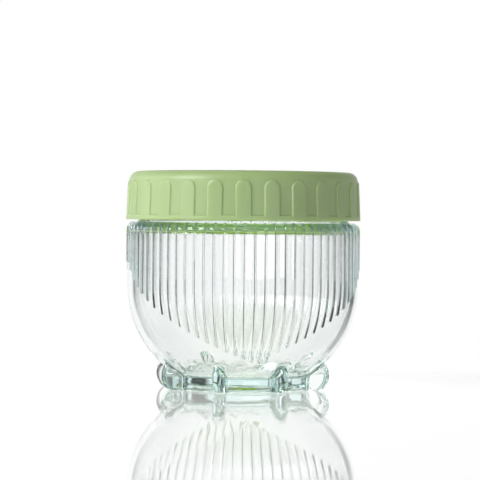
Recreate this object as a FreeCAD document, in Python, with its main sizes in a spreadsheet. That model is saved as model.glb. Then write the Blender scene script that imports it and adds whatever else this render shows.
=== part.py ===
import FreeCAD, Part

import math
import os
import re

import Sketcher

# A small glass storage jar with a screw lid, as a parametric document.
#
# The jar is one piece of thick pressed glass: a round bowl on a ring foot with lugs round it, a straight
# wall, a rounded shoulder and a threaded neck. Narrow half-round ribs run down its outside from the
# shoulder. The longest is at the front and at the back, and each next one ends a little higher, so that
# the rounded ends draw a V on both faces. The lid is a shallow plastic screw cap: a top plate, a skirt
# with a row of raised arches that stand on a rim band, and one thread.
#
# Units are millimetres. +Z is up, the front is -Y, and the origin is at the centre of the foot.

SIZES = {
    # outside of the jar
    "wall_radius": 39.5,
    "bowl_arc": 36.0,
    "shoulder_arc": 2.8,
    "shoulder_ledge": 0.55,
    "shoulder_top": 56.7,
    "neck_fillet": 0.35,
    "rim_round": 1.3,
    # inside of the jar
    "wall": 2.4,
    "neck_wall": 2.9,
    "inner_shoulder_arc": 1.6,
    "floor_height": 5.5,
    "floor_corner": 14.0,
    # foot
    "foot_inset": 16.3,
    "foot_height": 4.1,
    "foot_fillet": 1.5,
    "foot_edge": 1.0,
    "foot_land": 4.7,
    "hollow_depth": 1.6,
    "hollow_slope": 2.2,
    # lugs round the foot
    "lug_count": 8,
    "lug_arc": 6.4,
    "lug_reach": 7.6,
    "lug_middle": 4.9,
    "lug_thickness": 3.2,
    # ribs on the wall
    "rib_count": 72,
    "rib_width": 1.4,
    "rib_relief": 0.45,
    "rib_tip_height": 10.0,
    "rib_tip_step": 1.05,
    "rib_tip_growth": 0.051,
    "rib_top_angle": 62.0,
    # threads
    "thread_pitch": 4.5,
    "thread_depth": 1.1,
    "thread_clearance": 0.35,
    "thread_height": 4.5,
    "thread_margin": 3.3,
    # lid
    "lid_gap": 0.8,
    "lid_height": 16.5,
    "lid_plate": 1.8,
    "lid_seat_gap": 0.1,
    "lid_skirt": 1.5,
    "lid_taper": 0.55,
    "lid_corner": 3.2,
    "lid_band": 1.5,
    "lid_lip": 0.3,
    "lid_inner_corner": 0.8,
    # arches on the skirt
    "arch_count": 26,
    "arch_width": 5.2,
    "arch_relief": 0.45,
    "arch_drop": 3.3,
    "arch_turn": -6.0,
}

# Sizes that follow from the ones above.
FOLLOWS = {
    "bowl_centre": "wall_radius - bowl_arc",
    "foot_radius": "wall_radius - foot_inset",
    "foot_fillet_centre": "foot_radius + foot_fillet",
    "equator": "foot_height + sqrt((bowl_arc + foot_fillet)^2 - (foot_fillet_centre - bowl_centre)^2)",
    "foot_share": "bowl_arc / (bowl_arc + foot_fillet)",
    "foot_join_radius": "bowl_centre + (foot_fillet_centre - bowl_centre) * foot_share",
    "foot_join_height": "equator - (equator - foot_height) * foot_share",
    "hollow_radius": "foot_radius - foot_edge - foot_land",
    "shoulder_start": "shoulder_top - shoulder_arc",
    "shoulder_centre": "wall_radius - shoulder_arc",
    "neck_radius": "shoulder_centre - shoulder_ledge",
    "lid_bottom": "shoulder_top + lid_gap",
    "lid_top": "lid_bottom + lid_height",
    "lid_ceiling": "lid_top - lid_plate",
    "rim_height": "lid_ceiling - lid_seat_gap",
    "inner_radius": "wall_radius - wall",
    "inner_arc": "bowl_arc - wall",
    "inner_neck": "neck_radius - neck_wall",
    "inner_neck_arc": "inner_radius - inner_shoulder_arc - inner_neck",
    "inner_shoulder_top": "shoulder_top - wall",
    "floor_centre_height": "floor_height + floor_corner",
    "floor_span": "sqrt((inner_arc - floor_corner)^2 - (equator - floor_centre_height)^2)",
    "floor_radius": "bowl_centre + floor_span",
    "floor_share": "inner_arc / (inner_arc - floor_corner)",
    "floor_join_radius": "bowl_centre + floor_span * floor_share",
    "floor_join_height": "equator - (equator - floor_centre_height) * floor_share",
    "lug_centre": "foot_radius + lug_reach - lug_arc",
    "thread_start": "shoulder_top + thread_height",
    "thread_end": "rim_height - rim_round - thread_margin",
    "thread_turns": "(thread_end - thread_start) / thread_pitch",
    "lid_bore": "neck_radius + thread_depth + thread_clearance",
    "lid_thread_start": "thread_start - thread_pitch / 2",
    "arch_top": "lid_top - arch_drop",
    "band_top": "lid_bottom + lid_band",
    "skirt_top": "lid_top - lid_corner",
    "skirt_radius": "lid_bore + lid_skirt",
    "arch_radius": "skirt_radius + arch_relief",
    "lid_radius": "arch_radius + lid_taper",
    "taper": "lid_taper / (arch_top - lid_bottom)",
    "band_radius": "lid_radius - taper * lid_band",
}

SHEET = "Sizes"
FULL_TURN = 360.0
FRONT = -90.0
CUTTER_MARGIN = 5.0
UP = FreeCAD.Vector(0, 0, 1)

doc = FreeCAD.newDocument("glass_storage_jar")


def make_sheet():
    """The driving dimensions: one named cell for each."""
    made = doc.addObject("Spreadsheet::Sheet", SHEET)
    for row, (name, value) in enumerate(SIZES.items(), start=1):
        made.set(f"A{row}", name)
        made.set(f"B{row}", str(value))
        made.setAlias(f"B{row}", name)
    doc.recompute()
    return made


sheet = make_sheet()


def formula(text):
    """The text with every size that follows written out, down to the cells of the sheet."""

    def write_out(match):
        word = match.group(0)
        if word in FOLLOWS:
            return f"({formula(FOLLOWS[word])})"
        return f"{SHEET}.{word}" if word in SIZES else word

    return re.sub(r"[a-z_]+", write_out, text)


def size(text):
    """The number that a formula gives."""
    return float(sheet.evalExpression(formula(text)))


def bind(thing, **formulas):
    """Bind properties of an object to formulas."""
    for name, text in formulas.items():
        thing.setExpression(name, formula(text))


def upright_sketch(body, name, role="XZ_Plane"):
    """An empty sketch on an upright plane of the body: its x is the radius and its y is the height."""
    plane = next(f for f in body.Origin.OriginFeatures if f.Role == role)
    sketch = body.newObject("Sketcher::SketchObject", name)
    sketch.AttachmentSupport = [(plane, "")]
    sketch.MapMode = "FlatFace"
    return sketch


def pin(sketch, item, end, radius, height):
    """Hold a point of a sketch at a radius and a height."""
    for kind, axis, text in (("DistanceX", -2, radius), ("DistanceY", -1, height)):
        if text == "0":
            sketch.addConstraint(Sketcher.Constraint("PointOnObject", item, end, axis))
            continue
        at = sketch.addConstraint(Sketcher.Constraint(kind, -1, 1, item, end, size(text)))
        sketch.setExpression(f"Constraints[{at}]", formula(text))


def arc_centre(start, finish, radius, centre_on_left):
    """The centre of the short arc between two points."""
    chord = finish - start
    rise = math.sqrt(max(radius**2 - (chord.Length / 2) ** 2, 0.0))
    across = FreeCAD.Vector(-chord.y, chord.x, 0).normalize()
    return (start + finish) / 2 + across * rise * (1 if centre_on_left else -1)


def outline(body, name, corners):
    """A closed outline of lines and arcs.

    Each corner is (radius, height) or (radius, height, arc radius, side): the edge to the next corner is
    then an arc whose centre lies to the left or to the right of the way along it.
    """
    sketch = upright_sketch(body, name)
    points = [FreeCAD.Vector(size(c[0]), size(c[1]), 0) for c in corners]
    ends = []
    for place, corner in enumerate(corners):
        start, finish = points[place], points[(place + 1) % len(points)]
        if len(corner) == 2:
            item = sketch.addGeometry(Part.LineSegment(start, finish), False)
            ends.append((item, 1, 2))
            continue
        radius = size(corner[2])
        centre = arc_centre(start, finish, radius, corner[3] == "left")
        first, last = (start, finish) if corner[3] == "left" else (finish, start)
        angles = [math.atan2(p.y - centre.y, p.x - centre.x) for p in (first, last)]
        base = Part.Circle(centre, UP, radius)
        item = sketch.addGeometry(Part.ArcOfCircle(base, *angles), False)
        ends.append((item, 1, 2) if corner[3] == "left" else (item, 2, 1))
        at = sketch.addConstraint(Sketcher.Constraint("Radius", item, radius))
        sketch.setExpression(f"Constraints[{at}]", formula(corner[2]))
    for place, (item, begin, _) in enumerate(ends):
        before, _, stop = ends[place - 1]
        sketch.addConstraint(Sketcher.Constraint("Coincident", before, stop, item, begin))
    for (item, begin, _), corner in zip(ends, corners):
        pin(sketch, item, begin, corner[0], corner[1])
    return sketch


def turned(name, corners):
    """A body turned from an outline about the Z axis."""
    body = doc.addObject("PartDesign::Body", name)
    sketch = outline(body, f"{name}Outline", corners)
    turn = body.newObject("PartDesign::Revolution", f"{name}Turn")
    turn.Profile = sketch
    turn.ReferenceAxis = (sketch, ["V_Axis"])
    turn.Angle = FULL_TURN
    doc.recompute()
    return body


def add_thread(body, name, radius, start):
    """One round thread on a body, with its centre line on the cylinder that carries it.

    It starts at +Y, clear of the seam that the turned body has at +X.
    """
    sketch = upright_sketch(body, f"{name}Section", "YZ_Plane")
    centre = FreeCAD.Vector(size(radius), size(start), 0)
    circle = sketch.addGeometry(Part.Circle(centre, UP, size("thread_depth")), False)
    at = sketch.addConstraint(Sketcher.Constraint("Radius", circle, size("thread_depth")))
    sketch.setExpression(f"Constraints[{at}]", formula("thread_depth"))
    pin(sketch, circle, 3, radius, start)
    helix = body.newObject("PartDesign::AdditiveHelix", name)
    helix.Profile = sketch
    helix.ReferenceAxis = (sketch, ["V_Axis"])
    helix.Mode = "pitch-turns-angle"
    bind(helix, Pitch="thread_pitch", Turns="thread_turns")
    doc.recompute()


def make_glass_blank():
    """The outside of the jar, solid right through, with the hollow under its foot."""
    body = turned(
        "JarOutside",
        [
            ("0", "hollow_depth"),
            ("hollow_radius - hollow_slope", "hollow_depth"),
            ("hollow_radius", "0"),
            ("foot_radius - foot_edge", "0", "foot_edge", "left"),
            ("foot_radius", "foot_edge"),
            ("foot_radius", "foot_height", "foot_fillet", "right"),
            ("foot_join_radius", "foot_join_height", "bowl_arc", "left"),
            ("wall_radius", "equator"),
            ("wall_radius", "shoulder_start", "shoulder_arc", "left"),
            ("shoulder_centre", "shoulder_top"),
            ("neck_radius + neck_fillet", "shoulder_top", "neck_fillet", "right"),
            ("neck_radius", "shoulder_top + neck_fillet"),
            ("neck_radius", "rim_height - rim_round", "rim_round", "left"),
            ("neck_radius - rim_round", "rim_height"),
            ("0", "rim_height"),
        ],
    )
    add_thread(body, "NeckThread", "neck_radius", "thread_start")
    between_ribs = FreeCAD.Rotation(UP, FULL_TURN / size("rib_count") / 2)
    body.Placement = FreeCAD.Placement(FreeCAD.Vector(), between_ribs)
    return body


def make_cavity():
    """The space inside the jar, carried on past the rim."""
    return turned(
        "JarInside",
        [
            ("0", "floor_height"),
            ("floor_radius", "floor_height", "floor_corner", "left"),
            ("floor_join_radius", "floor_join_height", "inner_arc", "left"),
            ("inner_radius", "equator"),
            ("inner_radius", "inner_shoulder_top - inner_shoulder_arc", "inner_shoulder_arc", "left"),
            ("inner_radius - inner_shoulder_arc", "inner_shoulder_top", "inner_neck_arc", "right"),
            ("inner_neck", "inner_shoulder_top + inner_neck_arc"),
            ("inner_neck", "rim_height - rim_round", "rim_round", "right"),
            ("inner_neck + rim_round", "rim_height"),
            ("inner_neck + rim_round", f"rim_height + {CUTTER_MARGIN}"),
            ("0", f"rim_height + {CUTTER_MARGIN}"),
        ],
    )


def make_lug(number):
    """One lug: a disc with a rounded edge that stands out from the foot like a fin."""
    disc = doc.addObject("Part::Cylinder", f"LugDisc{number}")
    edge = doc.addObject("Part::Torus", f"LugEdge{number}")
    bind(disc, Radius="lug_arc - lug_thickness / 2", Height="lug_thickness")
    bind(edge, Radius1="lug_arc - lug_thickness / 2", Radius2="lug_thickness / 2")
    lean = FreeCAD.Rotation(FreeCAD.Vector(1, 0, 0), 90)
    angle = FRONT + (number + 0.5) * FULL_TURN / size("lug_count")
    turn = FreeCAD.Placement(FreeCAD.Vector(), FreeCAD.Rotation(UP, angle))
    for thing, across in ((disc, size("lug_thickness") / 2), (edge, 0.0)):
        middle = FreeCAD.Vector(size("lug_centre"), across, size("lug_middle"))
        thing.Placement = turn * FreeCAD.Placement(middle, lean)
    return [disc, edge]


def make_below_floor():
    """What lies below the surface that the jar stands on."""
    block = doc.addObject("Part::Cylinder", "BelowFloor")
    bind(block, Radius="wall_radius", Height="wall_radius")
    block.Placement.Base = FreeCAD.Vector(0, 0, -size("wall_radius"))
    return block


def rib_tip(steps):
    """The height of the end of a rib, a number of ribs away from the front or the back."""
    return size("rib_tip_height") + size("rib_tip_step") * steps + size("rib_tip_growth") * steps**2


def rib_path(tip, sink):
    """The centre line of a rib in the XZ plane: bowl, wall and shoulder, sunk below the surface."""
    equator, wall_top = size("equator"), size("shoulder_start")
    bowl = FreeCAD.Vector(size("bowl_centre"), 0, equator)
    shoulder = FreeCAD.Vector(size("shoulder_centre"), 0, wall_top)
    radius = size("wall_radius") - sink
    cap = size("rib_width") / 2
    edges = []
    lowest = max(equator, tip + cap)
    if tip + cap < equator:
        angle = math.asin((equator - tip) / size("bowl_arc")) - cap / size("bowl_arc")
        arc = size("bowl_arc") - sink
        at = [bowl + FreeCAD.Vector(math.cos(a), 0, -math.sin(a)) * arc for a in (angle, angle / 2, 0)]
        edges.append(Part.Arc(*at).toShape())
    edges.append(Part.makeLine((radius, 0, lowest), (radius, 0, wall_top)))
    end = math.radians(size("rib_top_angle"))
    arc = size("shoulder_arc") - sink
    at = [shoulder + FreeCAD.Vector(math.cos(a), 0, math.sin(a)) * arc for a in (0, end / 2, end)]
    edges.append(Part.Arc(*at).toShape())
    return Part.Wire(edges)


def end_ball(radius, edge, at_start):
    """A ball for one end of a bar: its poles lie across the bar, and its seam is turned into the glass."""
    where = edge.FirstParameter if at_start else edge.LastParameter
    across = FreeCAD.Vector(0, 1, 0)
    inward = edge.tangentAt(where).cross(across)
    ball = Part.makeSphere(radius)
    turn = FreeCAD.Rotation(inward, FreeCAD.Vector(), across, "ZXY")
    ball.Placement = FreeCAD.Placement(edge.valueAt(where), turn)
    return ball


def rib_solid(steps):
    """One rib in the XZ plane: a round bar along the wall, with a ball at each end."""
    relief = size("rib_relief")
    thickness = ((size("rib_width") / 2) ** 2 + relief**2) / (2 * relief)
    path = rib_path(rib_tip(steps), thickness - relief)
    first, last = path.Edges[0], path.Edges[-1]
    start, along = first.valueAt(first.FirstParameter), first.tangentAt(first.FirstParameter)
    ring = Part.Wire(Part.makeCircle(thickness, start, along))
    bar = path.makePipeShell([ring], True, True)
    return bar.fuse([end_ball(thickness, first, True), end_ball(thickness, last, False)])


def make_ribs():
    """The ribs: their lengths repeat in each quarter, from the front and the back to the two sides."""
    count = int(size("rib_count"))
    quarter = count // 4
    lengths = [rib_solid(steps) for steps in range(quarter + 1)]
    ribs = []
    for number in range(count):
        past_face = number % (2 * quarter)
        rib = lengths[min(past_face, 2 * quarter - past_face)].copy()
        rib.rotate(FreeCAD.Vector(), UP, FRONT + number * FULL_TURN / count)
        ribs.append(rib)
    feature = doc.addObject("Part::Feature", "Ribs")
    feature.Shape = Part.makeCompound(ribs)
    return feature


def make_jar():
    """The glass: outside, lugs and ribs joined, less the space inside and what is below the floor."""
    lugs = [piece for number in range(int(size("lug_count"))) for piece in make_lug(number)]
    outside = doc.addObject("Part::MultiFuse", "JarWithLugs")
    outside.Shapes = [make_glass_blank(), *lugs, make_ribs()]
    waste = doc.addObject("Part::MultiFuse", "JarWaste")
    waste.Shapes = [make_cavity(), make_below_floor()]
    jar = doc.addObject("Part::Cut", "Jar")
    jar.Base = outside
    jar.Tool = waste
    jar.Label = "glass_jar"
    return jar


def make_lid_shell():
    """The lid without its arches: top plate, rounded corner, skirt, rim band and thread."""
    body = turned(
        "LidShell",
        [
            ("0", "lid_ceiling"),
            ("lid_bore - lid_inner_corner", "lid_ceiling", "lid_inner_corner", "right"),
            ("lid_bore", "lid_ceiling - lid_inner_corner"),
            ("lid_bore", "lid_bottom"),
            ("lid_radius - lid_lip", "lid_bottom", "lid_lip", "left"),
            ("lid_radius", "lid_bottom + lid_lip"),
            ("band_radius", "band_top"),
            ("band_radius - arch_relief", "band_top"),
            ("skirt_radius", "skirt_top", "lid_corner", "left"),
            ("skirt_radius - lid_corner", "lid_top"),
            ("0", "lid_top"),
        ],
    )
    add_thread(body, "LidThread", "lid_bore", "lid_thread_start")
    return body


def make_arch(number):
    """One arch-shaped bar through the skirt: an upright block with a half-round top."""
    block = doc.addObject("Part::Box", f"ArchBlock{number}")
    crown = doc.addObject("Part::Cylinder", f"ArchCrown{number}")
    bind(block, Length="lid_radius", Width="arch_width")
    bind(block, Height="arch_top - arch_width / 2 - lid_bottom - lid_lip")
    bind(crown, Radius="arch_width / 2", Height="lid_radius")
    angle = FRONT + size("arch_turn") + number * FULL_TURN / size("arch_count")
    turn = FreeCAD.Placement(FreeCAD.Vector(), FreeCAD.Rotation(UP, angle))
    inner = size("lid_bore") + size("lid_skirt") / 2
    foot = FreeCAD.Vector(inner, -size("arch_width") / 2, size("lid_bottom") + size("lid_lip"))
    middle = FreeCAD.Vector(inner, 0, size("arch_top") - size("arch_width") / 2)
    block.Placement = turn * FreeCAD.Placement(foot, FreeCAD.Rotation())
    crown.Placement = turn * FreeCAD.Placement(middle, FreeCAD.Rotation(FreeCAD.Vector(0, 1, 0), 90))
    return [block, crown]


def make_lid():
    """The lid: the shell joined to arches that end in one cone, flush with the rim band."""
    bars = doc.addObject("Part::MultiFuse", "ArchBars")
    bars.Shapes = [piece for number in range(int(size("arch_count"))) for piece in make_arch(number)]
    cone = doc.addObject("Part::Cone", "ArchFace")
    bind(cone, Radius1="lid_radius - taper * lid_lip", Radius2="arch_radius")
    bind(cone, Height="arch_top - lid_bottom - lid_lip")
    cone.Placement.Base = FreeCAD.Vector(0, 0, size("lid_bottom") + size("lid_lip"))
    arches = doc.addObject("Part::Common", "Arches")
    arches.Base = bars
    arches.Tool = cone
    lid = doc.addObject("Part::MultiFuse", "Lid")
    lid.Shapes = [make_lid_shell(), arches]
    lid.Label = "screw_lid"
    return lid


def check_document(parts):
    """Stop if anything failed, or if a sub-part isn't one valid solid."""
    for thing in doc.Objects:
        if {"Invalid", "Error"} & set(thing.State):
            raise RuntimeError(f"{thing.Label} failed: {thing.State}")
    for part in parts:
        if part.Shape.isNull() or not part.Shape.isValid() or len(part.Shape.Solids) != 1:
            raise RuntimeError(f"{part.Label} isn't one valid solid")


def main():
    parts = [make_jar(), make_lid()]
    doc.recompute()
    check_document(parts)
    os.makedirs("parts", exist_ok=True)
    for part in parts:
        part.Shape.exportStep(f"parts/{part.Label}.step")
        box = part.Shape.BoundBox
        print(part.Label, f"volume {part.Shape.Volume:.0f}", f"height {box.ZMin:.2f} to {box.ZMax:.2f}")


main()
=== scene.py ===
import math

import bpy
import numpy as np
from mathutils import Matrix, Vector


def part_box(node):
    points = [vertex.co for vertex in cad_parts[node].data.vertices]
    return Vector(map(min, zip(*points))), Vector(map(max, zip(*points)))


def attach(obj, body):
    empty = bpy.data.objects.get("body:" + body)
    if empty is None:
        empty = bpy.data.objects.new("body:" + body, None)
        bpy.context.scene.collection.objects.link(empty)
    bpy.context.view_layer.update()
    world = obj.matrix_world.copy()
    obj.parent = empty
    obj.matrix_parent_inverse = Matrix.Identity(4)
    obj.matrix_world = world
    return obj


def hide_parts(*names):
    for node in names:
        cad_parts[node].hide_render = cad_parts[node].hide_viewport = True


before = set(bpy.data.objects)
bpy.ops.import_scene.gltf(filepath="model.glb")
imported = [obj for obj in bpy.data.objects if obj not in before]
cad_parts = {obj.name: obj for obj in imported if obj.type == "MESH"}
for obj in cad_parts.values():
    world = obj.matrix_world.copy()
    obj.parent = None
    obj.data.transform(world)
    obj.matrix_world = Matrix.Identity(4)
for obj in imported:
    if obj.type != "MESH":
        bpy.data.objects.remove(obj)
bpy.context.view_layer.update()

# A glass storage jar with a screw lid, closed and empty, on a pale glossy floor.
#
# The jar is remade here as one fine mesh: a turned outline whose wall carries the ribs and whose foot
# carries the lugs. The lid is remade the same way, with its row of raised arches. Sizes are in millimetres
# until a mesh is written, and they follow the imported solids' boxes.

JAR_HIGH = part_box("glass_jar")[1]
LID_LOW, LID_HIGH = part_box("screw_lid")
MM = 0.001


def smooth(edge_low, edge_high, value):
    """A smooth step from 0 to 1."""
    t = np.clip((value - edge_low) / (edge_high - edge_low), 0.0, 1.0)
    return t * t * (3 - 2 * t)


def round_union(a, b, reach):
    """The distance to the union of two shapes, with a fillet where they meet."""
    h = np.clip(0.5 + 0.5 * (b - a) / reach, 0.0, 1.0)
    return b * (1 - h) + a * h - reach * h * (1 - h)


def steps_to(finish, count):
    """Even steps from 0, the first left out."""
    return np.linspace(0, finish, count + 1)[1:]


def arc(centre, radius, start, finish, count):
    """Points along an arc, given by its centre and its two angles in degrees, the first left out."""
    angles = np.radians(np.linspace(start, finish, count + 1)[1:])
    return [(centre[0] + radius * math.cos(a), centre[1] + radius * math.sin(a)) for a in angles]


def line(start, finish, count):
    """Points along a line, the first left out."""
    steps = np.arange(1, count + 1)[:, None] / count
    return [tuple(point) for point in np.add(start, np.subtract(finish, start) * steps)]


class Skin:
    """A closed mesh made of rings, from the middle of one face to the middle of another."""

    def __init__(self):
        self.points = []
        self.faces = []
        self.last = None

    def tip(self, height):
        """A single point on the axis, first or last."""
        self.points.append(np.array([[0.0, 0.0, height]]))
        index = sum(len(p) for p in self.points) - 1
        if self.last is not None:
            ring = self.last
            self.faces += [(ring[i], ring[(i + 1) % len(ring)], index) for i in range(len(ring))]
        self.last = np.array([index])

    def ring(self, angles, radius, height):
        """The next ring, joined to the one before it."""
        x, y = radius * np.cos(angles), radius * np.sin(angles)
        start = sum(len(p) for p in self.points)
        self.points.append(np.column_stack([x, y, np.broadcast_to(height, x.shape)]))
        ring = np.arange(start, start + len(x))
        if self.last is not None:
            self.join(self.last, ring)
        self.last = ring

    def join(self, low, high):
        """Faces between two rings, one of which may have a whole number of times more points."""
        if len(low) == 1:
            self.faces += [(low[0], high[(i + 1) % len(high)], high[i]) for i in range(len(high))]
        elif len(low) == len(high):
            n = len(low)
            self.faces += [(low[i], low[(i + 1) % n], high[(i + 1) % n], high[i]) for i in range(n)]
        elif len(low) > len(high):
            self.fan(high, low, flip=True)
        else:
            self.fan(low, high, flip=False)

    def fan(self, coarse, fine, flip):
        """Triangles from a ring to one with several points for each of its own."""
        share = len(fine) // len(coarse)
        for i in range(len(coarse)):
            here, there = coarse[i], coarse[(i + 1) % len(coarse)]
            stops = [fine[(i * share + j) % len(fine)] for j in range(share + 1)]
            middle = share // 2
            faces = [(here, stops[j + 1], stops[j]) for j in range(middle)]
            faces.append((here, there, stops[middle]))
            faces += [(there, stops[j + 1], stops[j]) for j in range(middle, share)]
            self.faces += [face[::-1] for face in faces] if flip else faces

    def turned(self, angles, outline):
        """A ring for each point of an outline of (radius, height)."""
        for radius, height in outline:
            self.ring(angles, np.full(len(angles), radius), height)

    def piece(self, name):
        """The finished object, smooth shaded."""
        mesh = bpy.data.meshes.new(name)
        points = np.vstack(self.points) * MM
        mesh.from_pydata(points.tolist(), [], [tuple(int(i) for i in face) for face in self.faces])
        mesh.polygons.foreach_set("use_smooth", [True] * len(mesh.polygons))
        mesh.update()
        made = bpy.data.objects.new(name, mesh)
        bpy.context.scene.collection.objects.link(made)
        return made


# ---------------------------------------------------------------------------------------------- the jar

FRONT = math.radians(-90)

# The ribs. They run up over the shoulder, and their lower ends lie in a V: lowest at the front and the back,
# and higher by a growing step from rib to rib towards the sides.
RIB_COUNT = 72
RIB_WIDTH = 1.4
RIB_RELIEF = 0.45
RIB_REACH = 0.55
RIB_TIP_HEIGHT = 10.0
RIB_TIP_STEP = 1.05
RIB_TIP_GROWTH = 0.051
RIB_TOP_ANGLE = 62.0
RIB_FREE_HEIGHT = 8.0
TIP_LEVEL = 0.85
TIP_RADIUS = 0.76

# The bowl, an arc in outline, and the straight wall over it.
WALL_RADIUS = JAR_HIGH[0] / MM - RIB_RELIEF
BOWL_ARC = 36.0
BOWL_CENTRE = WALL_RADIUS - BOWL_ARC
WALL = 2.4

# The ring foot, the hollow under it, and where its fillet meets the bowl.
FOOT_RADIUS = 23.2
FOOT_HEIGHT = 4.1
FOOT_FILLET = 1.5
FOOT_EDGE = 1.0
FOOT_STEP = 0.05
HOLLOW_RADIUS = 17.5
HOLLOW_SLOPE = 2.2
HOLLOW_DEPTH = 1.6
HOLLOW_ROUND = 0.8
STANDING_WIDTH = 1.2
FACE_MIDDLE = 2.0

FILLET_CENTRE = FOOT_RADIUS + FOOT_FILLET
EQUATOR = FOOT_HEIGHT + math.sqrt((BOWL_ARC + FOOT_FILLET) ** 2 - (FILLET_CENTRE - BOWL_CENTRE) ** 2)
FOOT_JOIN = EQUATOR - (EQUATOR - FOOT_HEIGHT) * BOWL_ARC / (BOWL_ARC + FOOT_FILLET)

# The lugs round the foot: upright half discs with rounded edges.
LUG_COUNT = 8
LUG_ARC = 6.4
LUG_REACH = 7.6
LUG_CENTRE = FOOT_RADIUS + LUG_REACH - LUG_ARC
LUG_MIDDLE = 4.9
LUG_THICKNESS = 3.2
LUG_BLEND = 0.9
LUG_EDGE = 0.4
LUG_EDGE_FROM = 0.1
LUG_EDGE_TO = 0.8
LUG_TOP = 9.9
LUG_FADE = 0.9
LUG_COLUMNS_TOP = 7.0
LUG_DRAW = 0.5
SEARCH_IN = 0.02
SEARCH_OUT = 9.0
SEARCH_STEPS = 26

# The shoulder, the neck and the rim.
RIM_HEIGHT = JAR_HIGH[2] / MM
LID_CLEARANCE = 0.8
SHOULDER_TOP = LID_LOW[2] / MM - LID_CLEARANCE
SHOULDER_ARC = 2.8
SHOULDER_LEDGE = 0.55
WALL_TOP = SHOULDER_TOP - SHOULDER_ARC
NECK_RADIUS = WALL_RADIUS - SHOULDER_ARC - SHOULDER_LEDGE
NECK_WALL = 2.9
NECK_FILLET = 0.35
RIM_ROUND = 1.3

# The inside, which follows the outside at the wall's thickness, down to a flat floor with a round corner.
INNER_SHOULDER_ARC = 1.6
FLOOR_HEIGHT = 5.5
FLOOR_CORNER = 14.0

# The thread, a round ridge on the neck and one in the lid, half a pitch lower.
THREAD_PITCH = 4.5
THREAD_TURNS = 1.4
THREAD_DEPTH = 1.1
THREAD_CLEARANCE = 0.35
THREAD_START = SHOULDER_TOP + 4.5
THREAD_BEGIN = math.radians(90)
THREAD_RUN_IN = 0.04
THREAD_LAPS = 3
THREAD_SHARPNESS = 1.5
NECK_THREAD_HALF = 1.3
LID_THREAD_HALF = 1.25

# The mesh: the heights of the foot's rings, how many rings each part has, how far under and past the ribs'
# lower ends they lie close together, and how many columns there are for each rib.
LOW_RINGS = (0.0, 0.06, 0.2, 0.4, 0.7, 1.0)
FOOT_RING = 1.45
FOOT_RINGS = 20
BOWL_RINGS = 8
TIP_RINGS = 14
WALL_RINGS = 14
SHOULDER_RINGS = 16
NECK_RINGS = 39
UNDER_TIP = 0.7
PAST_TIP = 1.5
TIP_CLEAR = 1.1
FINE = 12
COARSE = 3


def rib_columns():
    """The angles of the wall's columns, close together across each rib."""
    pitch = math.tau / RIB_COUNT
    offsets = np.append(np.linspace(-RIB_REACH, RIB_REACH, FINE - 1) / WALL_RADIUS, pitch / 2)
    centres = FRONT + pitch * np.arange(RIB_COUNT)
    return (centres[:, None] + offsets[None, :]).ravel()


def steps_from_face(number):
    """How many ribs away from the front or the back a rib is."""
    past_face = np.mod(number, RIB_COUNT // 2)
    return np.minimum(past_face, RIB_COUNT // 2 - past_face)


def along_wall(height):
    """The distance up the wall from its widest ring, along the outline."""
    below = np.minimum(height - EQUATOR, 0.0)
    return np.where(height < EQUATOR, BOWL_ARC * np.arcsin(below / BOWL_ARC), height - EQUATOR)


def tip_place(number):
    """Where a rib ends, along the outline."""
    steps = steps_from_face(number)
    return along_wall(RIB_TIP_HEIGHT + RIB_TIP_STEP * steps + RIB_TIP_GROWTH * steps**2)


def wall_point(place):
    """The outline's radius, height and outward direction at a distance along it."""
    straight = WALL_TOP - EQUATOR
    low = np.minimum(place, 0.0) / BOWL_ARC
    high = np.maximum(place - straight, 0.0) / SHOULDER_ARC
    angle = low + high
    radius = np.where(
        place > straight,
        WALL_RADIUS - SHOULDER_ARC + SHOULDER_ARC * np.cos(high),
        BOWL_CENTRE + BOWL_ARC * np.cos(low),
    )
    middle = EQUATOR + np.clip(place, 0.0, straight)
    height = middle + BOWL_ARC * np.sin(low) + SHOULDER_ARC * np.sin(high)
    return radius, height, np.cos(angle), np.sin(angle)


def rib_rise(angles, place, radius):
    """How far the ribs stand out of the wall."""
    pitch = math.tau / RIB_COUNT
    number = np.round((angles - FRONT) / pitch)
    across = (angles - FRONT - number * pitch) * radius
    low_end = tip_place(number) + RIB_WIDTH / 2
    high_end = WALL_TOP - EQUATOR + SHOULDER_ARC * math.radians(RIB_TOP_ANGLE)
    past = np.maximum(low_end - place, 0.0) + np.maximum(place - high_end, 0.0)
    distance = np.minimum(np.hypot(across, past) / RIB_REACH, 1.0)
    return RIB_RELIEF * np.cos(distance * math.pi / 2) ** 2


def foot_radius(height):
    """The radius of the ring foot, its fillet and the bowl above it."""
    edge = np.clip(1 - height / FOOT_EDGE, 0.0, 1.0)
    ring = FOOT_RADIUS - FOOT_EDGE * (1 - np.sqrt(1 - edge**2))
    fillet = FILLET_CENTRE - np.sqrt(np.maximum(FOOT_FILLET**2 - (height - FOOT_HEIGHT) ** 2, 0.0))
    bowl = BOWL_CENTRE + np.sqrt(BOWL_ARC**2 - (EQUATOR - height) ** 2)
    return np.where(height < FOOT_HEIGHT, ring, np.where(height < FOOT_JOIN, fillet, bowl))


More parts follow.
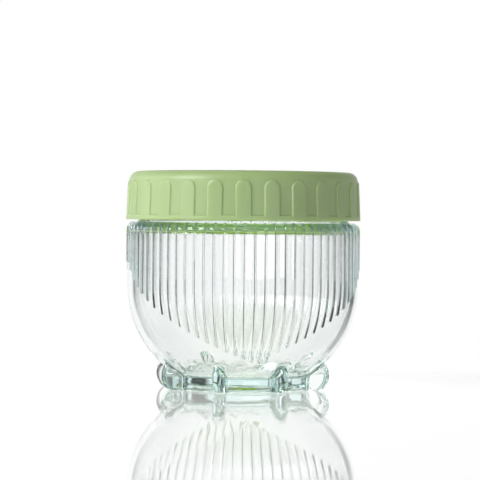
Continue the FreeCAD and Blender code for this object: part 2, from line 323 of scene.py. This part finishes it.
def foot_surface(angles, height):
    """The radius of the foot with its lugs: the outermost point of both, with a fillet between them."""
    base = foot_radius(height)
    slope = (foot_radius(height + FOOT_STEP) - base) / FOOT_STEP
    lean = 1 / math.sqrt(1 + slope**2) if height > FOOT_HEIGHT else 1.0
    pitch = math.tau / LUG_COUNT
    first = FRONT + pitch / 2
    turn = angles - first
    turn = turn - np.round(turn / pitch) * pitch
    inside, outside = np.full(angles.shape, base - SEARCH_IN), np.full(angles.shape, base + SEARCH_OUT)
    for _ in range(SEARCH_STEPS):
        radius = (inside + outside) / 2
        along, across = radius * np.cos(turn), radius * np.sin(turn)
        disc = np.hypot(along - LUG_CENTRE, height - LUG_MIDDLE) - (LUG_ARC - LUG_THICKNESS / 2)
        lug = np.hypot(np.maximum(disc, 0.0), across) - LUG_THICKNESS / 2
        within = round_union((radius - base) * lean, lug, LUG_BLEND) < 0
        inside, outside = np.where(within, radius, inside), np.where(within, outside, radius)
    reach = (inside + outside) / 2
    edge = max(LUG_EDGE - height, 0.0)
    rounding = LUG_EDGE - math.sqrt(LUG_EDGE**2 - edge**2)
    reach = reach - rounding * smooth(LUG_EDGE_FROM, LUG_EDGE_TO, reach - base)
    fade = 1 - smooth(LUG_TOP - LUG_FADE, LUG_TOP, height)
    return base + (reach - base) * fade


def lug_columns(angles, height):
    """The wall's columns, drawn together at the lugs near the foot."""
    pitch = math.tau / LUG_COUNT
    first = FRONT + pitch / 2
    number = np.round((angles - first) / pitch)
    turn = angles - first - number * pitch
    drawn = turn * (1 - LUG_DRAW + LUG_DRAW * (2 * turn / pitch) ** 2)
    share = 1 - smooth(LUG_COLUMNS_TOP, LUG_TOP, height)
    return angles + (drawn - turn) * share


def tip_curve(angles):
    """The place of the rib ends at any angle: level across a rib, and sloping between ribs."""
    pitch = math.tau / RIB_COUNT
    part = (angles - FRONT) / pitch
    low = np.floor(part)
    level = TIP_LEVEL / WALL_RADIUS / pitch
    share = np.clip((part - low - level) / (1 - 2 * level), 0.0, 1.0)
    return tip_place(low) * (1 - share) + tip_place(low + 1) * share


def add_foot(skin, angles):
    """The foot with its lugs, and the lowest of the bowl with the lowest rib ends on it."""
    for height in np.concatenate([LOW_RINGS, np.linspace(FOOT_RING, LUG_TOP, FOOT_RINGS)]):
        columns = lug_columns(angles, height)
        place = along_wall(np.full(columns.shape, height))
        ribbed = height > RIB_FREE_HEIGHT
        rise = rib_rise(columns, place, WALL_RADIUS * TIP_RADIUS) if ribbed else 0.0
        skin.ring(columns, foot_surface(columns, height) + rise, height)


def wall_rows(angles):
    """The places of the rings over the foot. Up to the shoulder they rise and fall with the rib ends."""
    start, top = float(along_wall(LUG_TOP)), WALL_TOP - EQUATOR
    tips = np.maximum(tip_curve(angles), start + TIP_CLEAR)
    under, past = tips - UNDER_TIP, tips + PAST_TIP
    rows = [start + (under - start) * share for share in steps_to(1, BOWL_RINGS)]
    rows += [under + step for step in steps_to(UNDER_TIP + PAST_TIP, TIP_RINGS)]
    rows += [past + (top - past) * share for share in steps_to(1, WALL_RINGS)]
    turns = [math.radians(angle) for angle in steps_to(90, SHOULDER_RINGS)]
    return rows + [np.full(angles.shape, top + SHOULDER_ARC * turn) for turn in turns]


def add_wall(skin, angles):
    """The bowl, the wall and the shoulder, with the ribs on them."""
    for place in wall_rows(angles):
        radius, height, out, up = wall_point(place)
        rise = rib_rise(angles, place, radius)
        skin.ring(angles, radius + rise * out, height + rise * up)


def thread_rise(angles, height, start, width):
    """How far one turn-and-a-bit of round thread stands out of its cylinder."""
    rise = np.zeros(angles.shape)
    for lap in range(THREAD_LAPS):
        turn = np.mod(angles - THREAD_BEGIN, math.tau) / math.tau + lap
        off = np.abs(height - start - THREAD_PITCH * turn) / width
        run_out = 1 - smooth(THREAD_TURNS - THREAD_RUN_IN, THREAD_TURNS, turn)
        ends = smooth(0.0, THREAD_RUN_IN, turn) * run_out
        ridge = THREAD_DEPTH * np.cos(np.minimum(off, 1.0) * math.pi / 2) ** THREAD_SHARPNESS * ends
        rise = np.maximum(rise, ridge)
    return rise


def add_neck(skin, angles):
    """The ledge, the neck with its thread, and the rounded rim."""
    fillet = (NECK_RADIUS + NECK_FILLET, SHOULDER_TOP + NECK_FILLET)
    skin.turned(angles, [(fillet[0], SHOULDER_TOP)] + arc(fillet, NECK_FILLET, 270, 180, 3))
    for height in np.linspace(fillet[1], RIM_HEIGHT - RIM_ROUND, NECK_RINGS + 1)[1:]:
        rise = thread_rise(angles, height, THREAD_START, NECK_THREAD_HALF)
        skin.ring(angles, NECK_RADIUS + rise, height)
    outer = (NECK_RADIUS - RIM_ROUND, RIM_HEIGHT - RIM_ROUND)
    inner = (NECK_RADIUS - NECK_WALL + RIM_ROUND, RIM_HEIGHT - RIM_ROUND)
    skin.turned(angles, arc(outer, RIM_ROUND, 0, 90, 6))
    skin.turned(angles, [(inner[0], RIM_HEIGHT)] + arc(inner, RIM_ROUND, 90, 180, 6))


def add_inside(skin, angles):
    """The inside of the neck, shoulder, wall and bowl, down to the floor."""
    neck = NECK_RADIUS - NECK_WALL
    wide = WALL_RADIUS - WALL
    inner_arc = BOWL_ARC - WALL
    neck_arc = wide - INNER_SHOULDER_ARC - neck
    level = SHOULDER_TOP - WALL
    skin.turned(angles, line((neck, RIM_HEIGHT - RIM_ROUND), (neck, level + neck_arc), 4))
    skin.turned(angles, arc((neck + neck_arc, level + neck_arc), neck_arc, 180, 270, 8))
    centre = (wide - INNER_SHOULDER_ARC, level - INNER_SHOULDER_ARC)
    skin.turned(angles, arc(centre, INNER_SHOULDER_ARC, 90, 0, 8))
    skin.turned(angles, line((wide, centre[1]), (wide, EQUATOR), 4))
    corner_height = FLOOR_HEIGHT + FLOOR_CORNER
    span = math.sqrt((inner_arc - FLOOR_CORNER) ** 2 - (EQUATOR - corner_height) ** 2)
    low = math.degrees(math.atan2(corner_height - EQUATOR, span))
    skin.turned(angles, arc((BOWL_CENTRE, EQUATOR), inner_arc, 0, low, 20))
    skin.turned(angles, arc((BOWL_CENTRE + span, corner_height), FLOOR_CORNER, low, -90, 10))
    skin.turned(angles, line((BOWL_CENTRE + span, FLOOR_HEIGHT), (FACE_MIDDLE, FLOOR_HEIGHT), 3))
    skin.tip(FLOOR_HEIGHT)


def hollow_outline():
    """The hollow under the foot, with soft corners at both ends of its slope, and the standing ring."""
    slope = HOLLOW_RADIUS - HOLLOW_SLOPE
    flat = [(FACE_MIDDLE, HOLLOW_DEPTH), (slope - HOLLOW_ROUND, HOLLOW_DEPTH)]
    upper = [(slope - 0.1, HOLLOW_DEPTH - 0.12), (slope + 0.5, HOLLOW_DEPTH - 0.5)]
    lower = [(HOLLOW_RADIUS - 0.5, 0.36), (HOLLOW_RADIUS + 0.1, 0.08), (HOLLOW_RADIUS + 0.8, 0.0)]
    return flat + upper + lower + [(FOOT_RADIUS - FOOT_EDGE - STANDING_WIDTH, 0.0)]


def make_jar():
    """The glass, from the middle of the hollow under the foot round to the middle of the floor inside."""
    angles = rib_columns()
    even = angles[0] + math.tau * np.arange(RIB_COUNT * COARSE) / (RIB_COUNT * COARSE)
    skin = Skin()
    skin.tip(HOLLOW_DEPTH)
    skin.turned(even, hollow_outline())
    add_foot(skin, angles)
    add_wall(skin, angles)
    add_neck(skin, even)
    add_inside(skin, even)
    jar = skin.piece("jar_glass")
    jar.visible_shadow = False
    return jar


# ---------------------------------------------------------------------------------------------- the lid

LID_BOTTOM = LID_LOW[2] / MM
LID_TOP = LID_HIGH[2] / MM
LID_RADIUS = LID_HIGH[0] / MM
LID_PLATE = 1.8
LID_TAPER = 0.55
LID_CORNER = 3.2
LID_LIP = 0.3
LID_EDGE_WIDTH = 0.2
LID_BAND = 1.5
LID_BORE = NECK_RADIUS + THREAD_DEPTH + THREAD_CLEARANCE
LID_INNER_CORNER = 0.8
ARCH_COUNT = 26
ARCH_WIDTH = 5.2
ARCH_RELIEF = 0.45
ARCH_TOP = LID_TOP - 3.3
ARCH_TURN = -6.0
ARCH_SOFT = 0.22
SKIRT_TOP = LID_TOP - LID_CORNER
SKIRT_RADIUS = LID_RADIUS - LID_TAPER - ARCH_RELIEF

# The mesh: the radii of the rings on the plate's two faces, how many rings the bore has, how many columns
# there are for each arch on the even parts, and the columns and rings that lie close together at the edges.
PLATE_RINGS = (5.0, 20.0)
TOP_RINGS = (30.0, 18.0, 6.0)
LID_BORE_RINGS = 35
LID_COARSE = 13
ARCH_FACE = (0.7, 1.4, 1.95)
ARCH_EDGE = (-0.35, -0.2, -0.1, 0.0, 0.1, 0.2, 0.35)
ARCH_GAP = (3.3, 3.9)
BAND_FACE = 0.8
BAND_EDGE = (-0.3, -0.2, -0.1, 0.0, 0.1, 0.2, 0.3)
ARCH_SIDE_RINGS = 7
ARCH_TOP_RINGS = 23


def arch_share(angles, height):
    """1 on an arch or on the rim band, 0 on the skirt between them, with soft edges."""
    pitch = math.tau / ARCH_COUNT
    first = FRONT + math.radians(ARCH_TURN)
    turn = angles - first
    across = (turn - np.round(turn / pitch) * pitch) * LID_RADIUS
    half = ARCH_WIDTH / 2
    above = max(height - (ARCH_TOP - half), 0.0)
    arch = np.hypot(across, above) - half
    band = height - (LID_BOTTOM + LID_BAND)
    return 1 - smooth(-ARCH_SOFT, ARCH_SOFT, np.minimum(arch, band))


def arch_columns():
    """The angles of the skirt's columns, drawn together at the sides of each arch."""
    pitch = math.tau / ARCH_COUNT
    half = np.concatenate([ARCH_FACE, ARCH_WIDTH / 2 + np.array(ARCH_EDGE), ARCH_GAP]) / LID_RADIUS
    offsets = np.concatenate([-half[::-1], [0.0], half, [pitch / 2]])
    centres = FRONT + math.radians(ARCH_TURN) + pitch * np.arange(ARCH_COUNT)
    return (centres[:, None] + offsets[None, :]).ravel()


def add_lid_inside(skin, angles, ceiling):
    """The plate's underside, the bore with its thread, and the edge at the bottom of the skirt."""
    corner = (LID_BORE - LID_INNER_CORNER, ceiling - LID_INNER_CORNER)
    skin.turned(angles, [(radius, ceiling) for radius in (*PLATE_RINGS, corner[0])])
    skin.turned(angles, arc(corner, LID_INNER_CORNER, 90, 0, 4))
    for height in np.linspace(corner[1], LID_BOTTOM + LID_LIP, LID_BORE_RINGS + 1)[1:]:
        rise = thread_rise(angles, height, THREAD_START - THREAD_PITCH / 2, LID_THREAD_HALF)
        skin.ring(angles, LID_BORE - rise, height)
    skin.turned(angles, arc((LID_BORE + LID_LIP, LID_BOTTOM + LID_LIP), LID_LIP, 180, 270, 3))
    skin.turned(angles, [(LID_RADIUS - LID_LIP - LID_EDGE_WIDTH, LID_BOTTOM)])


def skirt_heights():
    """The heights of the skirt's rings, close together over the band's edge and on the arches' round tops."""
    edge = LID_BOTTOM + LID_BAND + np.array(BAND_EDGE)
    crown = ARCH_TOP - ARCH_WIDTH / 2
    sides = np.linspace(edge[-1], crown, ARCH_SIDE_RINGS + 1)[1:]
    tops = np.linspace(crown, ARCH_TOP + BAND_EDGE[-1], ARCH_TOP_RINGS + 1)[1:]
    return np.concatenate([[LID_BOTTOM + BAND_FACE], edge, sides, tops])


def add_skirt(skin, angles):
    """The outside of the skirt, with its arches and its band. It leans in a little towards the top."""
    skin.turned(angles, arc((LID_RADIUS - LID_LIP, LID_BOTTOM + LID_LIP), LID_LIP, 270, 360, 4))
    slope = LID_TAPER / (ARCH_TOP - LID_BOTTOM)
    for height in skirt_heights():
        share = arch_share(angles, height)
        radius = LID_RADIUS - slope * (height - LID_BOTTOM - LID_LIP) - ARCH_RELIEF * (1 - share)
        skin.ring(angles, radius, height)


def make_lid():
    """The lid, from the middle of the plate's underside round to the middle of its top."""
    angles = arch_columns()
    even = angles[0] + math.tau * np.arange(ARCH_COUNT * LID_COARSE) / (ARCH_COUNT * LID_COARSE)
    ceiling = LID_TOP - LID_PLATE
    skin = Skin()
    skin.tip(ceiling)
    add_lid_inside(skin, even, ceiling)
    add_skirt(skin, angles)
    skin.turned(even, arc((SKIRT_RADIUS - LID_CORNER, SKIRT_TOP), LID_CORNER, 4, 90, 14))
    skin.turned(even, [(radius, LID_TOP) for radius in TOP_RINGS])
    skin.tip(LID_TOP)
    return skin.piece("lid_plastic")


# ---------------------------------------------------------------------------------------------- materials

def new_material(name):
    """A node material, with its nodes and links."""
    material = bpy.data.materials.new(name)
    material.use_nodes = True
    return material, material.node_tree.nodes, material.node_tree.links


def math_node(tree, kind, first, second=0.0, third=0.0):
    """One sum; each term is a number or a socket."""
    node = tree.nodes.new("ShaderNodeMath")
    node.operation = kind
    for socket, value in zip(node.inputs, (first, second, third)):
        if isinstance(value, (int, float)):
            socket.default_value = value
        else:
            tree.links.new(value, socket)
    return node.outputs[0]


def ease_node(tree, value, start, finish, low=0.0, high=1.0):
    """A smooth step from low to high, while a socket's value goes from start to finish."""
    node = tree.nodes.new("ShaderNodeMapRange")
    node.interpolation_type = "SMOOTHSTEP"
    tree.links.new(value, node.inputs["Value"])
    node.inputs["From Min"].default_value = start
    node.inputs["From Max"].default_value = finish
    node.inputs["To Min"].default_value = low
    node.inputs["To Max"].default_value = high
    return node.outputs["Result"]


def noise_node(tree, place, scale, detail):
    """A noise fixed to the object."""
    node = tree.nodes.new("ShaderNodeTexNoise")
    node.inputs["Scale"].default_value = scale
    node.inputs["Detail"].default_value = detail
    tree.links.new(place.outputs["Object"], node.inputs["Vector"])
    return node.outputs["Fac"]


def bump_node(tree, shader, height, distance):
    """A bump on a shader's normal."""
    node = tree.nodes.new("ShaderNodeBump")
    node.inputs["Distance"].default_value = distance
    tree.links.new(height, node.inputs["Height"])
    tree.links.new(node.outputs["Normal"], shader.inputs["Normal"])
    return node


def split_node(tree, vector):
    """The three parts of a vector."""
    node = tree.nodes.new("ShaderNodeSeparateXYZ")
    tree.links.new(vector, node.inputs[0])
    return node.outputs["X"], node.outputs["Y"], node.outputs["Z"]


def mix_shaders(tree, share, first, second):
    """A mix of two shaders by a socket's value."""
    node = tree.nodes.new("ShaderNodeMixShader")
    tree.links.new(share, node.inputs[0])
    tree.links.new(first, node.inputs[1])
    tree.links.new(second, node.inputs[2])
    return node.outputs[0]


def seen_through_glass(tree, path):
    """1 where the camera looks through glass, with no dull surface on the way."""
    through = math_node(tree, "GREATER_THAN", path.outputs["Transmission Depth"], 0.5)
    direct = math_node(tree, "LESS_THAN", path.outputs["Diffuse Depth"], 0.5)
    return math_node(tree, "MULTIPLY", through, direct)


GLASS_INDEX = 1.5
GLASS_TINT = (0.33, 0.76, 0.72, 1)
GLASS_DENSITY = 12.5

# The waves in the glass, in metres: steady near the middle of the wall, wavy further up and down.
GLASS_MIDDLE = 0.032
GLASS_STEADY = 0.019
GLASS_WAVY = 0.024
WAVE_SCALE = 150.0
WAVE_DETAIL = 1.0
WAVE_HEIGHT = 0.0008
WAVE_STRENGTH = 0.5
WAVE_LEAST = 0.02


def wave_glass(tree, shader):
    """The uneven skin of pressed glass: hardly there on the wall, stronger on the foot and the shoulder."""
    place = tree.nodes.new("ShaderNodeTexCoord")
    height = split_node(tree, place.outputs["Object"])[2]
    from_middle = math_node(tree, "ABSOLUTE", math_node(tree, "SUBTRACT", height, GLASS_MIDDLE))
    share = ease_node(tree, from_middle, GLASS_STEADY, GLASS_WAVY, WAVE_LEAST)
    bump = bump_node(tree, shader, noise_node(tree, place, WAVE_SCALE, WAVE_DETAIL), WAVE_HEIGHT)
    tree.links.new(math_node(tree, "MULTIPLY", share, WAVE_STRENGTH), bump.inputs["Strength"])


def glass_material():
    """Clear soda glass with a slightly wavy skin, and the green of its iron in the depth of it."""
    material, nodes, links = new_material("clear_glass")
    shader = nodes["Principled BSDF"]
    shader.inputs["Base Color"].default_value = (1, 1, 1, 1)
    shader.inputs["Roughness"].default_value = 0.0
    shader.inputs["IOR"].default_value = GLASS_INDEX
    shader.inputs["Transmission Weight"].default_value = 1.0
    depth = nodes.new("ShaderNodeVolumeAbsorption")
    depth.inputs["Color"].default_value = GLASS_TINT
    depth.inputs["Density"].default_value = GLASS_DENSITY
    links.new(depth.outputs["Volume"], nodes["Material Output"].inputs["Volume"])
    wave_glass(material.node_tree, shader)
    return material


LID_DARKER = (0.36, 0.475, 0.225, 1)
LID_PALER = (0.4, 0.525, 0.25, 1)
# Painted light: the inner faces of the lid get a brighter, fresher green that stands in for light coming
# through the plastic.
LID_INSIDE_PAINTED_LIGHT = (0.45, 0.66, 0.02, 1)
LID_INSIDE_MARGIN = 0.1
LID_INDEX = 1.49
LID_ROUGHNESS = 0.38
LID_SUBSURFACE_SCALE = 0.003
LID_SUBSURFACE_RADIUS = (1.0, 1.0, 0.6)
CLOUD_SCALE = 60.0
CLOUD_DETAIL = 3.0
GRAIN_SCALE = 2500.0
GRAIN_DETAIL = 2.0
GRAIN_HEIGHT = 0.0001
GRAIN_STRENGTH = 0.05


def painted_light_inside_lid(tree, place):
    """1 on the bore and the underside of the top plate, where a brighter green is painted in to stand for
    light that has come through the plastic.
    """
    along_x, along_y, height = split_node(tree, place.outputs["Object"])
    flat = tree.nodes.new("ShaderNodeCombineXYZ")
    tree.links.new(along_x, flat.inputs["X"])
    tree.links.new(along_y, flat.inputs["Y"])
    radius = tree.nodes.new("ShaderNodeVectorMath")
    radius.operation = "LENGTH"
    tree.links.new(flat.outputs[0], radius.inputs[0])
    within = math_node(tree, "LESS_THAN", radius.outputs["Value"], (LID_BORE + LID_INSIDE_MARGIN) * MM)
    below = math_node(tree, "LESS_THAN", height, (LID_TOP - LID_PLATE / 2) * MM)
    return math_node(tree, "MULTIPLY", within, below)


def plastic_colour(tree, place):
    """A slightly uneven pale green, with painted light on the inner faces: a brighter, fresher green that
    stands in for light coming through the plastic.
    """
    colours = tree.nodes.new("ShaderNodeValToRGB")
    colours.color_ramp.elements[0].color = LID_DARKER
    colours.color_ramp.elements[1].color = LID_PALER
    tree.links.new(noise_node(tree, place, CLOUD_SCALE, CLOUD_DETAIL), colours.inputs["Fac"])
    # The mix node's colour sockets share their names, so they are told apart by number: 6 and 7 in, 2 out.
    # Painted light: the inner faces are switched to the brighter green that stands in for light coming
    # through the plastic.
    painted_light_mix = tree.nodes.new("ShaderNodeMix")
    painted_light_mix.data_type = "RGBA"
    painted_light_mix.inputs[7].default_value = LID_INSIDE_PAINTED_LIGHT
    tree.links.new(painted_light_inside_lid(tree, place), painted_light_mix.inputs[0])
    tree.links.new(colours.outputs["Color"], painted_light_mix.inputs[6])
    return painted_light_mix.outputs[2]


def plastic_material():
    """Pale green moulded plastic with a soft sheen, a fine grain and light going a little way into it."""
    material, nodes, links = new_material("green_plastic")
    tree = material.node_tree
    shader = nodes["Principled BSDF"]
    place = nodes.new("ShaderNodeTexCoord")
    links.new(plastic_colour(tree, place), shader.inputs["Base Color"])
    bump = bump_node(tree, shader, noise_node(tree, place, GRAIN_SCALE, GRAIN_DETAIL), GRAIN_HEIGHT)
    bump.inputs["Strength"].default_value = GRAIN_STRENGTH
    shader.inputs["Roughness"].default_value = LID_ROUGHNESS
    shader.inputs["IOR"].default_value = LID_INDEX
    shader.inputs["Subsurface Weight"].default_value = 1.0
    shader.inputs["Subsurface Radius"].default_value = LID_SUBSURFACE_RADIUS
    shader.inputs["Subsurface Scale"].default_value = LID_SUBSURFACE_SCALE
    return material


# The floor, with lengths in metres. Through the glass its reach is smaller and it is painted darker, a
# painted shadow round the jar, and a weak glow lifts it as the camera, the gloss and the glass see it.
FLOOR_RADIUS = 0.5
FLOOR_FADE_FROM = 0.25
FLOOR_RADIUS_THROUGH = 0.06
FLOOR_SHADE = 0.9
FLOOR_LIFT = 0.11
FLOOR_PAINTED_SHADOW_THROUGH = 0.65
FLOOR_ROUGHNESS = 0.03
FLOOR_INDEX = 1.8


def floor_fade(tree, passed):
    """0 on the middle of the floor and 1 at its edge, which lies closer in where glass is in between."""
    place = tree.nodes.new("ShaderNodeTexCoord")
    reach = tree.nodes.new("ShaderNodeVectorMath")
    reach.operation = "LENGTH"
    tree.links.new(place.outputs["Object"], reach.inputs[0])
    grow = math_node(tree, "MULTIPLY_ADD", passed, FLOOR_RADIUS / FLOOR_RADIUS_THROUGH - 1, 1.0)
    radius = math_node(tree, "MULTIPLY", reach.outputs["Value"], grow)
    return ease_node(tree, radius, FLOOR_FADE_FROM, FLOOR_RADIUS)


def floor_material():
    """A pale glossy sheet, as in a product studio, painted darker as a shadow where it is seen through the
    glass. It fades out towards its edge.
    """
    material, nodes, links = new_material("studio_floor")
    shader = nodes["Principled BSDF"]
    tree = material.node_tree
    path = tree.nodes.new("ShaderNodeLightPath")
    passed = seen_through_glass(tree, path)
    # Painted shadow: where the floor is seen through the glass, its colour drops from the even pale grey to a
    # darker one.
    base_with_painted_shadow = math_node(tree, "MULTIPLY_ADD", passed, FLOOR_PAINTED_SHADOW_THROUGH - FLOOR_SHADE, FLOOR_SHADE)
    links.new(base_with_painted_shadow, shader.inputs["Base Color"])
    shader.inputs["Emission Color"].default_value = (1, 1, 1, 1)
    lift = math_node(tree, "MULTIPLY_ADD", path.outputs["Is Diffuse Ray"], -FLOOR_LIFT, FLOOR_LIFT)
    links.new(lift, shader.inputs["Emission Strength"])
    shader.inputs["Roughness"].default_value = FLOOR_ROUGHNESS
    shader.inputs["IOR"].default_value = FLOOR_INDEX
    clear = nodes.new("ShaderNodeBsdfTransparent")
    mixed = mix_shaders(tree, floor_fade(tree, passed), shader.outputs["BSDF"], clear.outputs["BSDF"])
    links.new(mixed, nodes["Material Output"].inputs["Surface"])
    return material


# ---------------------------------------------------------------------------------------------- the studio

FLOOR_LEVEL = -0.00003


def make_floor():
    """A large pale floor, just under the glass."""
    half, level = FLOOR_RADIUS, FLOOR_LEVEL
    mesh = bpy.data.meshes.new("floor")
    corners = [(-half, -half, level), (half, -half, level), (half, half, level), (-half, half, level)]
    mesh.from_pydata(corners, [], [(0, 1, 2, 3)])
    floor = bpy.data.objects.new("floor", mesh)
    bpy.context.scene.collection.objects.link(floor)
    mesh.materials.append(floor_material())


# The lamps: name, azimuth from the front to the right and elevation in degrees, distance, width and height
# in metres, power in watts, and whether the glass shows them behind it. The strip is the glare on the front.
LAMPS = (
    ("key", -62.0, 25.0, 1.2, 0.6, 0.6, 11.6, True),
    ("rim", -112.0, 12.0, 1.2, 0.5, 0.5, 2.3, False),
    ("strip", 14.0, 0.36, 1.6, 1.3, 0.12, 2.2, False),
)
LAMP_AIM = 0.05


def area_light(name, azimuth, elevation, distance, width, height, power, through_glass):
    """A lamp that looks at the jar."""
    lamp = bpy.data.lights.new(name, "AREA")
    lamp.shape = "RECTANGLE"
    lamp.size = width
    lamp.size_y = height
    lamp.energy = power
    item = bpy.data.objects.new(name, lamp)
    turn, rise = math.radians(azimuth), math.radians(elevation)
    away = (math.sin(turn) * math.cos(rise), -math.cos(turn) * math.cos(rise), math.sin(rise))
    item.location = (away[0] * distance, away[1] * distance, LAMP_AIM + away[2] * distance)
    item.rotation_euler = (math.pi / 2 - rise, 0, turn)
    item.visible_transmission = through_glass
    bpy.context.scene.collection.objects.link(item)


# How bright the room is, seen through the glass, by the angle from straight behind the jar, in degrees:
# a white panel behind, dark gaps at its sides with a narrow window in them, and white beside and in front.
ROOM = (
    (0, 1.0), (25, 1.0), (30, 0.01), (42, 0.01), (43.5, 1.0),
    (46.5, 1.0), (48, 0.07), (83, 0.07), (86, 1.0),
)

# Gloss sees the gaps filled up to one level, and dull surfaces see one even grey all round.
ROOM_SHEEN = 0.5
ROOM_SOFT = 0.36

# The room goes dim towards the ceiling, between two elevations, and its gaps are paler towards the floor,
# between two heights of the ray's direction.
ROOM_TOP = 0.15
ROOM_TOP_FROM = math.radians(18)
ROOM_TOP_TO = math.radians(35)
ROOM_LOW = 0.4
ROOM_LOW_FROM = -0.05
ROOM_LOW_TO = -0.25


def white_light(tree, level):
    """A white background of one brightness, or of the brightness that a socket gives."""
    made = tree.nodes.new("ShaderNodeBackground")
    made.inputs["Color"].default_value = (1, 1, 1, 1)
    if isinstance(level, float):
        made.inputs["Strength"].default_value = level
    else:
        tree.links.new(level, made.inputs["Strength"])
    return made.outputs[0]


def room_ramp(tree, bearing):
    """The room's brightness by the bearing of the ray."""
    share = math_node(tree, "DIVIDE", math_node(tree, "ABSOLUTE", bearing), math.pi)
    ramp = tree.nodes.new("ShaderNodeValToRGB")
    tree.links.new(share, ramp.inputs["Fac"])
    stops = ramp.color_ramp.elements
    while len(stops) < len(ROOM):
        stops.new(1.0)
    for stop, (angle, level) in zip(stops, ROOM):
        stop.position = angle / 180
        stop.color = (level, level, level, 1)
    return ramp.outputs["Color"]


def room_level(tree):
    """The brightness of the room in the direction of the ray: round the jar, and up to the ceiling."""
    place = tree.nodes.new("ShaderNodeTexCoord")
    along_x, along_y, height = split_node(tree, place.outputs["Generated"])
    round_jar = room_ramp(tree, math_node(tree, "ARCTAN2", along_x, along_y))
    low = ease_node(tree, height, ROOM_LOW_FROM, ROOM_LOW_TO, 0.0, ROOM_LOW)
    ceiling = ease_node(tree, height, math.sin(ROOM_TOP_FROM), math.sin(ROOM_TOP_TO), 1.0, ROOM_TOP)
    return math_node(tree, "MAXIMUM", round_jar, low), ceiling


def make_world():
    """White to the camera, while the glass and the gloss see a white room with dark gaps in it."""
    world = bpy.data.worlds.new("studio")
    bpy.context.scene.world = world
    world.use_nodes = True
    tree = world.node_tree
    tree.nodes.clear()
    path = tree.nodes.new("ShaderNodeLightPath")
    round_jar, ceiling = room_level(tree)
    through = white_light(tree, math_node(tree, "MULTIPLY", round_jar, ceiling))
    lift = math_node(tree, "MULTIPLY_ADD", round_jar, 1 - ROOM_SHEEN, ROOM_SHEEN)
    sheen = white_light(tree, math_node(tree, "MULTIPLY", lift, ceiling))
    soft = white_light(tree, ROOM_SOFT)
    plain = white_light(tree, 1.0)
    shader = mix_shaders(tree, path.outputs["Is Glossy Ray"], soft, sheen)
    lit_through = math_node(tree, "GREATER_THAN", path.outputs["Transmission Depth"], 0.5)
    shader = mix_shaders(tree, lit_through, shader, plain)
    shader = mix_shaders(tree, seen_through_glass(tree, path), shader, through)
    shader = mix_shaders(tree, path.outputs["Is Camera Ray"], shader, plain)
    output = tree.nodes.new("ShaderNodeOutputWorld")
    tree.links.new(shader, output.inputs["Surface"])


# The camera: angles in degrees, distances in metres, the lens in millimetres, the shift in picture widths.
CAMERA_AZIMUTH = -6.0
CAMERA_DISTANCE = 0.9
CAMERA_NEAR = 0.05
CAMERA_LENS = 197.0
CAMERA_PITCH = -0.43
CAMERA_ROLL = 0.5
CAMERA_SHIFT = -0.00646

MAX_BOUNCES = 32
GLOSSY_BOUNCES = 12


def make_camera():
    """A long lens at the height of the lid's lower edge, a little to the left of the front."""
    camera = bpy.data.cameras.new("camera")
    camera.lens = CAMERA_LENS
    camera.shift_x = CAMERA_SHIFT
    camera.clip_start = CAMERA_NEAR
    item = bpy.data.objects.new("camera", camera)
    turn = math.radians(CAMERA_AZIMUTH)
    item.location = (math.sin(turn) * CAMERA_DISTANCE, -math.cos(turn) * CAMERA_DISTANCE, LID_LOW[2])
    item.rotation_mode = "XYZ"
    look = Matrix.Rotation(turn, 4, "Z") @ Matrix.Rotation(math.radians(90 + CAMERA_PITCH), 4, "X")
    item.rotation_euler = (look @ Matrix.Rotation(math.radians(CAMERA_ROLL), 4, "Z")).to_euler()
    bpy.context.scene.collection.objects.link(item)
    bpy.context.scene.camera = item


def main():
    """The two pieces with their materials, and the studio round them."""
    scene = bpy.context.scene
    scene.view_settings.view_transform = "Standard"
    scene.cycles.max_bounces = MAX_BOUNCES
    scene.cycles.transmission_bounces = MAX_BOUNCES
    scene.cycles.glossy_bounces = GLOSSY_BOUNCES
    jar, lid = make_jar(), make_lid()
    for piece, node, slot, material in (
        (jar, "glass_jar", "clear_glass", glass_material()),
        (lid, "screw_lid", "green_plastic", plastic_material()),
    ):
        piece.data.materials.append(material)
        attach(piece, "root")
        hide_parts(node)
    make_floor()
    for lamp in LAMPS:
        area_light(*lamp)
    make_world()
    make_camera()


main()
